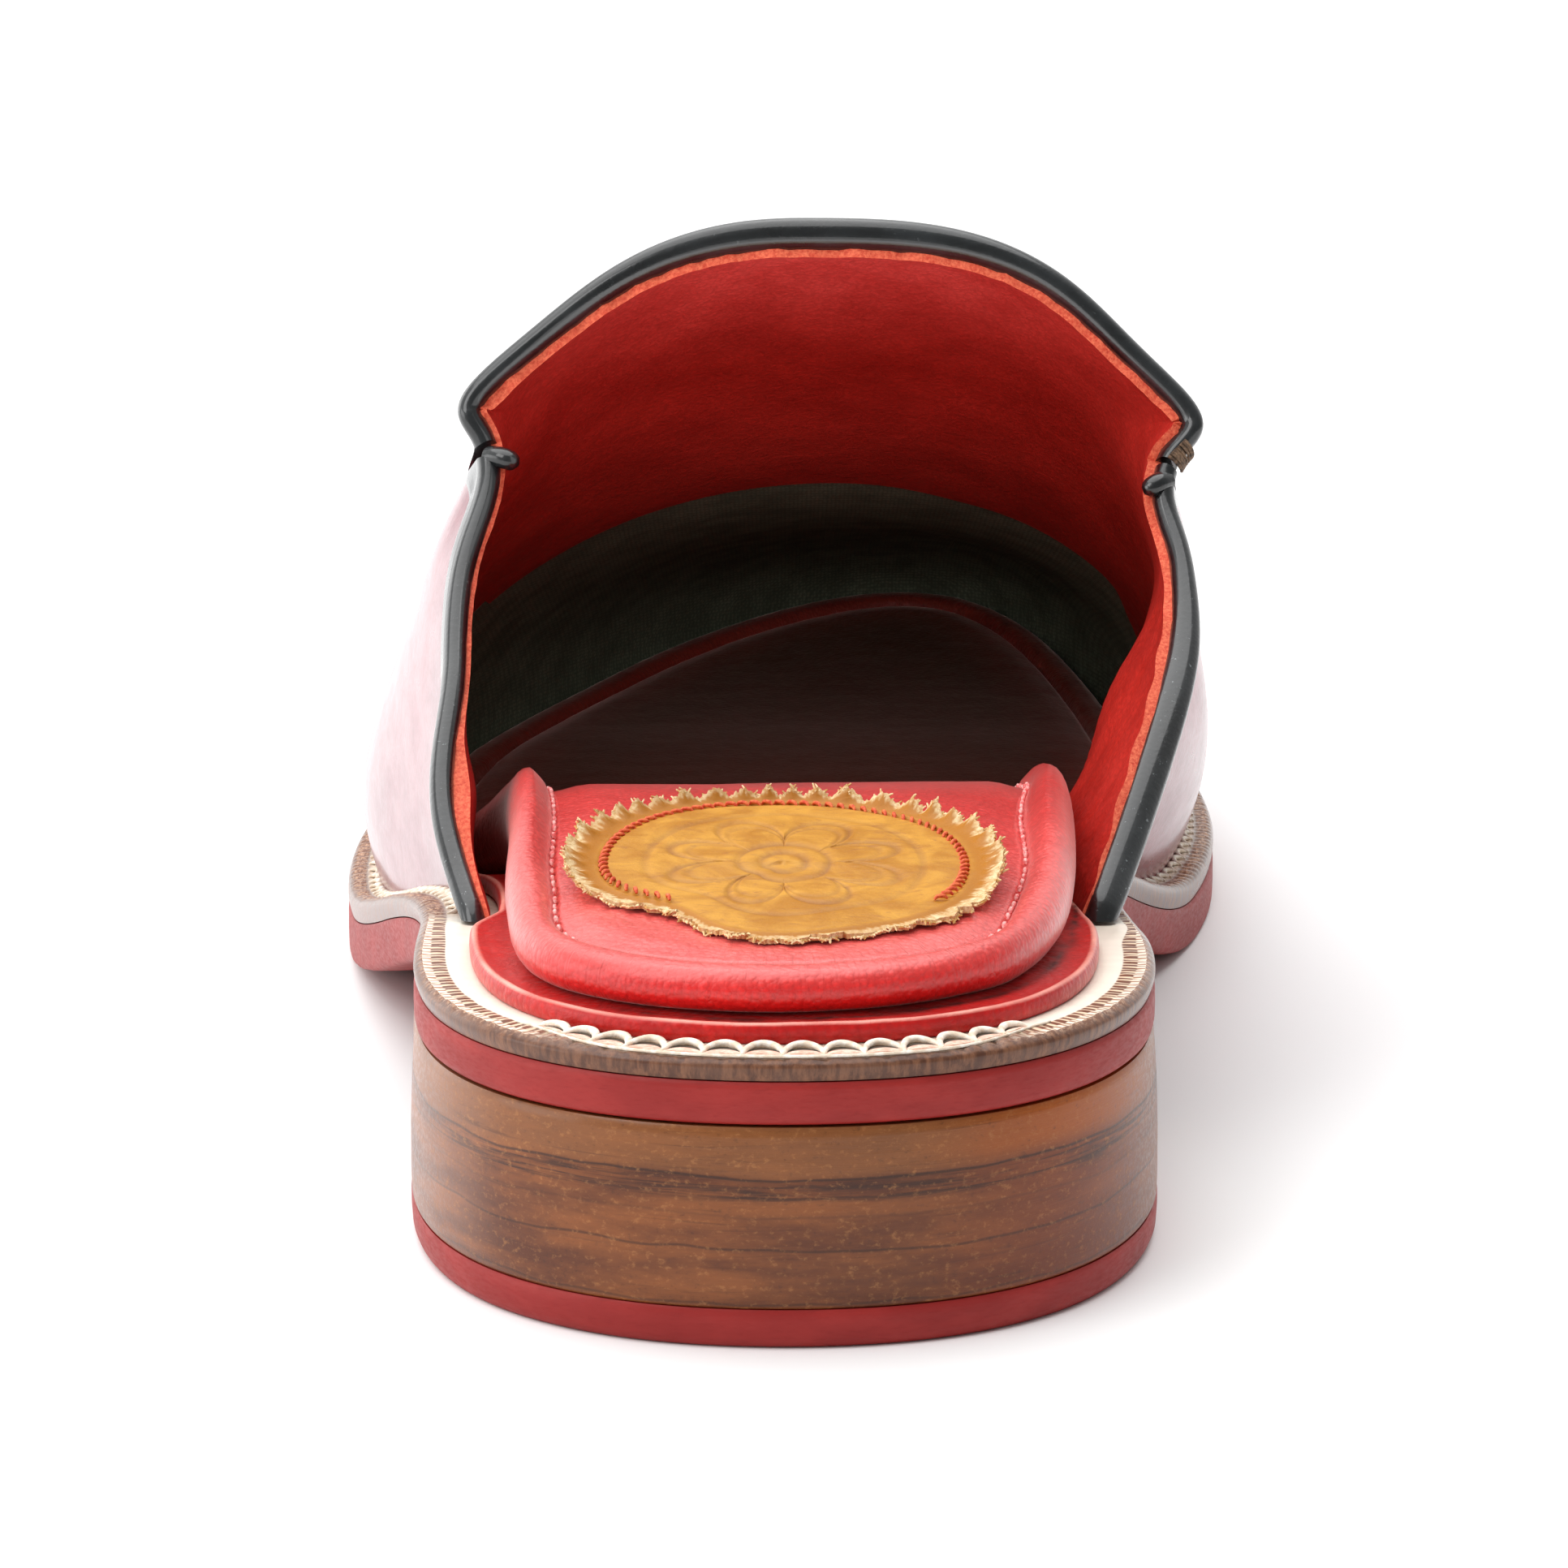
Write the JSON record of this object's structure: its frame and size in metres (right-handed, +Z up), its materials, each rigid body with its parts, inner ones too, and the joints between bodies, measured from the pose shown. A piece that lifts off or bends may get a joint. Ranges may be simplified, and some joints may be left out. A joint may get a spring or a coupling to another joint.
{
  "type": "mule",
  "caption": "Left-foot leather mule with a bound tongue topline, welted sole, low stacked heel, padded sock and a pinked leather patch.",
  "frame": {"origin": "bottom centre of the bounding box, on the floor under the shoe", "axes": "+Z up, +Y from the heel to the toe, +X to the inner side of this left shoe (to the right seen from behind)"},
  "size_m": [0.1106, 0.2926, 0.0915],
  "materials": {
    "red_rubber": "satin",
    "welt_leather": "matte",
    "stacked_leather": "burnished",
    "red_leather": "satin",
    "ochre_leather": "matte",
    "rose_leather": "gloss",
    "black_leather": "gloss"
  },
  "bodies": {
    "root": {"outsole": "red_rubber", "welt": "welt_leather", "heel_block": "stacked_leather", "top_lift": "red_rubber", "insole": "red_leather", "sock_pad": "red_leather", "label_patch": "ochre_leather", "upper": "rose_leather", "tongue_binding": "black_leather", "outer_quarter_binding": "black_leather", "inner_quarter_binding": "black_leather"}
  },
  "joints": []
}
